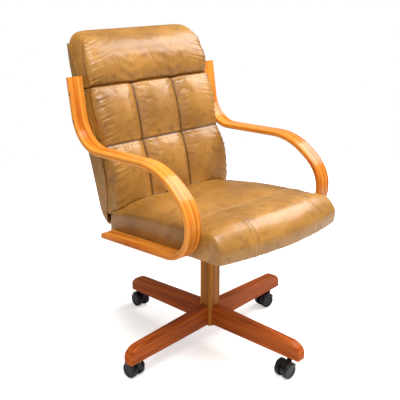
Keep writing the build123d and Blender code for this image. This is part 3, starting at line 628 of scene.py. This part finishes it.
def wood(name, colours, streaks, roughness, turn=0.0, coat=0.0):
    """Streaked wood: streaks is a streak's size in millimetres along each axis, after the turn in degrees."""
    material = new_material(name, roughness, coat=coat, gloss=0.16)
    place = add(material, "ShaderNodeTexCoord")
    lay = add(material, "ShaderNodeMapping", [("Vector", place, "Object")], vector_type="TEXTURE",
              Scale=[size / 1000 for size in streaks], Rotation=(0, 0, radians(turn)))
    streak = add(material, "ShaderNodeTexNoise", [("Vector", lay, "Vector")],
                 Scale=1.0, Detail=6.0, Distortion=0.4)
    share = add(material, "ShaderNodeMapRange", [("Value", streak, "Fac")], From_Min=0.36, From_Max=0.58)
    tone = add(material, "ShaderNodeMixRGB", [("Fac", share, "Result")],
               Color1=linear(colours[1]), Color2=linear(colours[0]))
    join(material, tone, "Color", "Base Color")
    bump = add(material, "ShaderNodeBump", [("Height", streak, "Fac")], Strength=0.06, Distance=0.0008)
    join(material, bump, "Normal", "Normal")
    return material


def grained(name, colour, roughness):
    """Moulded or enamelled surface with a fine even grain."""
    material = new_material(name, roughness, colour)
    place = add(material, "ShaderNodeTexCoord")
    grain = add(material, "ShaderNodeTexNoise", [("Vector", place, "Object")],
                Scale=per_metre(MOULD_GRAIN), Detail=3.0)
    bump = add(material, "ShaderNodeBump", [("Height", grain, "Fac")], Strength=0.1, Distance=0.0003)
    join(material, bump, "Normal", "Normal")
    return material


def slot_materials():
    thin, long = STREAK_WIDTH, STREAK_LENGTH
    return {
        # laminated strips under clear gloss lacquer: warm, with clear highlights and lines along the bend
        "arm_wood": wood("honey lacquered bentwood", ARM_WOOD, (thin, long, long), 0.22, coat=0.14),
        # stained post under satin lacquer: dull brown, with upright lines
        "post_wood": wood("brown lacquered wood", POST_WOOD, (thin, thin, long), 0.42),
        # sawn boards inside the seat and back: pale and matt
        "frame_wood": wood("bare frame timber", FRAME_WOOD, (long, thin, thin), 0.7),
        "leather": leather(),
        # turned and pressed parts, plated: a cool grey shine
        "steel": new_material("zinc-plated steel", 0.32, ZINC, metallic=1.0),
        # pressed steel under stove enamel: near black with a soft shine
        "black_steel": grained("black enamelled steel", ENAMEL, 0.4),
        # turned bushes: milky and dull
        "bush_plastic": grained("natural nylon", NYLON, 0.5),
        # moulded stops: matt and near black
        "rubber": grained("black rubber", RUBBER, 0.75),
        # moulded hoods and wheels: black with a satin shine
        "black_plastic": grained("black caster plastic", CASTER_BLACK, 0.36),
    }


def leg_materials():
    """Stained legs under satin lacquer: red-brown, with lines along each pair of legs."""
    streaks = (STREAK_LENGTH, STREAK_WIDTH, STREAK_WIDTH)
    turns = (BASE_TURN, BASE_TURN + 90)
    along, across = (wood("red-brown lacquered wood", LEG_WOOD, streaks, 0.42, turn=turn) for turn in turns)
    return {"leg_left": along, "leg_right": along, "leg_front": across, "leg_rear": across}


def dress_nodes(materials, legs):
    """Give every node the material of its slot, and every leg the one that follows it."""
    for part in frame["record"]["subparts"]:
        name = part["node"]
        surface = legs[name] if name in legs else materials[part["material_slot"]]
        mesh = frame["nodes"][name].data
        mesh.materials.clear()
        mesh.materials.append(surface)


def dress_piece(piece, material, body):
    piece.data.materials.append(material)
    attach(piece, body)


def studio_floor():
    """White disc that fades into the white surround for the camera."""
    place = (0, 0, -FLOOR_DROP)
    bpy.ops.mesh.primitive_circle_add(vertices=96, radius=FLOOR_RADIUS, fill_type="NGON", location=place)
    floor = bpy.context.object
    floor.name = "studio floor"
    material = new_material("white studio floor", 0.9, FLOOR_WHITE)
    place = add(material, "ShaderNodeTexCoord")
    reach = add(material, "ShaderNodeVectorMath", [(0, place, "Object")], operation="LENGTH")
    level = add(material, "ShaderNodeMapRange", [("Value", reach, "Value")],
                From_Min=FLOOR_FADE, From_Max=FLOOR_RADIUS, To_Min=FLOOR_GLOW)
    rays = add(material, "ShaderNodeLightPath")
    seen = add(material, "ShaderNodeMath", [(0, level, "Result"), (1, rays, "Is Camera Ray")],
               operation="MULTIPLY")
    material.node_tree.nodes["Principled BSDF"].inputs["Emission Color"].default_value = (1, 1, 1, 1)
    join(material, seen, "Value", "Emission Strength")
    floor.data.materials.append(material)


def studio():
    """Soft lights, and a surround that is white to the camera and dimmer to the chair."""
    studio_floor()
    for name, place, size, power in LIGHTS:
        lamp = bpy.data.lights.new(name, "AREA")
        lamp.size = size
        lamp.energy = power
        holder = bpy.data.objects.new(name, lamp)
        holder.location = place
        holder.rotation_euler = (LIGHT_AIM - Vector(place)).to_track_quat("-Z", "Y").to_euler()
        bpy.context.scene.collection.objects.link(holder)
    world = bpy.data.worlds.new("white surround")
    bpy.context.scene.world = world
    world.use_nodes = True
    rays = add(world, "ShaderNodeLightPath")
    level = add(world, "ShaderNodeMapRange", [("Value", rays, "Is Camera Ray")], To_Min=AMBIENT)
    glow = world.node_tree.nodes["Background"]
    glow.inputs["Color"].default_value = (1, 1, 1, 1)
    world.node_tree.links.new(glow.inputs["Strength"], level.outputs["Result"])
    bpy.context.scene.view_settings.view_transform = "Standard"


def camera():
    lens = bpy.data.cameras.new("photo camera")
    lens.lens = CAMERA_LENS
    lens.sensor_width = CAMERA_SENSOR
    holder = bpy.data.objects.new("photo camera", lens)
    holder.location = CAMERA_PLACE
    holder.rotation_euler = (radians(90) - CAMERA_PITCH, 0, -CAMERA_YAW)
    bpy.context.scene.collection.objects.link(holder)
    bpy.context.scene.camera = holder


materials = slot_materials()
dress_nodes(materials, leg_materials())

seat = seat_pad()
pads = back_pads(surface_of(seat))
roll = head_roll()
cushions = ((pads, "back_cushion", 0.7), (roll, "head_pillow", 0.75), (seat, "seat_cushion", 0.8))
for piece, node, fill in cushions:
    dress_piece(piece, materials["leather"], "seat")
    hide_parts(node)

# twisted polyester: a dull pale line
thread = new_material("tan thread", 0.7, THREAD_COLOUR)
seat_thread = stitches("seat_stitches", surface_of(seat), seat_stitch_paths())
dress_piece(seat_thread, thread, "seat")

spring = helix_tube("tension_spring_coil")
spring.data.materials.append(materials["steel"])
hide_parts("tension_spring")
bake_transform(spring)

studio()
camera()
